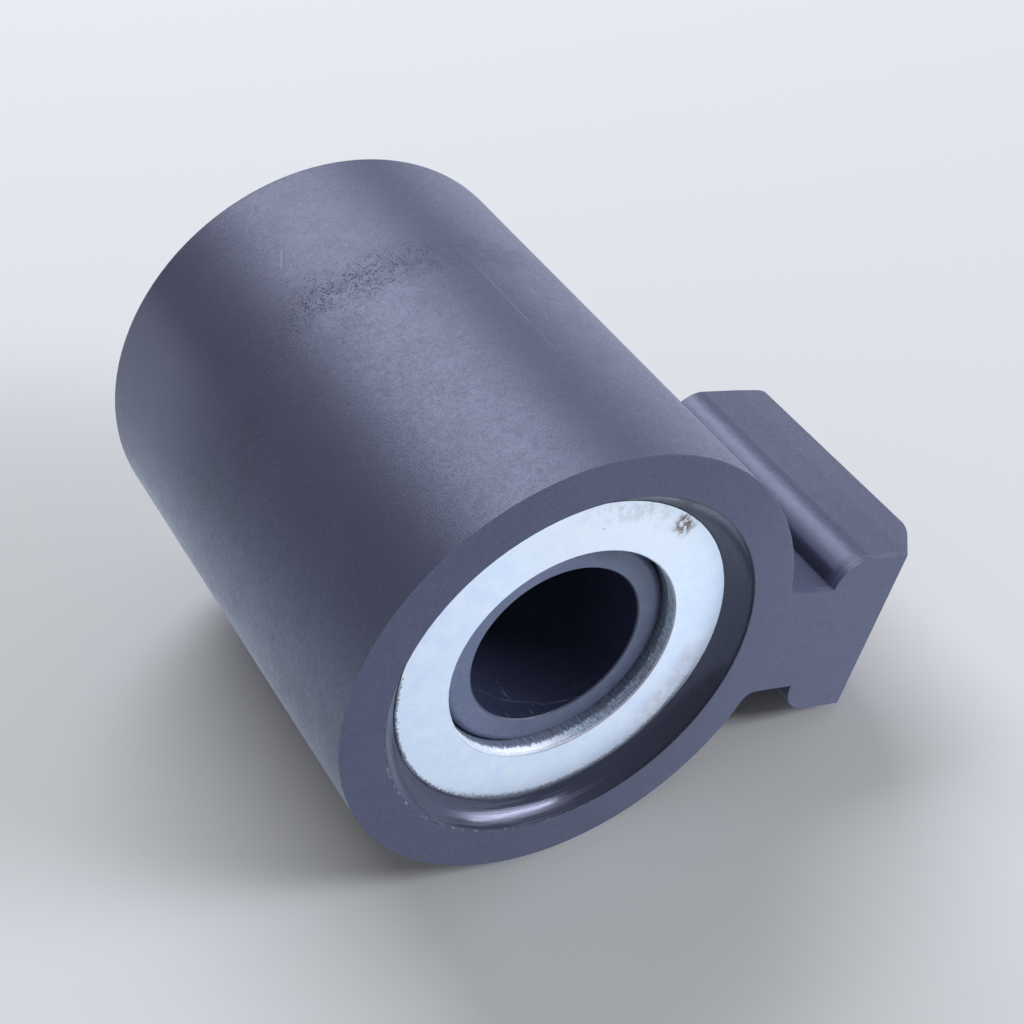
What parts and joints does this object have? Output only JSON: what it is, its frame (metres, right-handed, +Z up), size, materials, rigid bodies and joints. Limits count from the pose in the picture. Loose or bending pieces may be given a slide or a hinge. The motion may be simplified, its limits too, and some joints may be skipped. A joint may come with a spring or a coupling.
{
  "type": "solenoid valve coil",
  "caption": "Moulded solenoid valve coil: black cylinder with a through bore, zinc plated washers in recessed ends and a T-shaped plug socket on its side.",
  "frame": {"origin": "on the bore's axis, half way between the two end faces", "axes": "+Y along the bore, away from the end face beside the plug socket; +Z up as the coil lies on its side; the plug socket stands out towards +X, leaning down until its corner touches the surface"},
  "size_m": [0.048, 0.0396, 0.035],
  "materials": {
    "overmould": "satin black moulding",
    "bobbin_plastic": "satin black moulding",
    "carrier_plastic": "matt black moulding",
    "zinc_steel": "bluish zinc plate",
    "enamelled_copper": "enamelled copper wire",
    "polyester_tape": "yellow film tape",
    "lead_sleeving": "pale sleeving",
    "tinned_brass": "bright tin plate",
    "solder": "dull solder"
  },
  "bodies": {
    "root": {"overmould_body": "overmould", "bobbin": "bobbin_plastic", "terminal_carrier": "carrier_plastic", "front_flux_washer": "zinc_steel", "rear_flux_washer": "zinc_steel", "yoke_sleeve": "zinc_steel", "copper_winding": "enamelled_copper", "winding_start_lead": "enamelled_copper", "winding_finish_lead": "enamelled_copper", "winding_tape": "polyester_tape", "start_lead_sleeve": "lead_sleeving", "terminal_blade_front": "tinned_brass", "terminal_blade_rear": "tinned_brass", "solder_joint_front": "solder", "solder_joint_rear": "solder"}
  },
  "joints": []
}
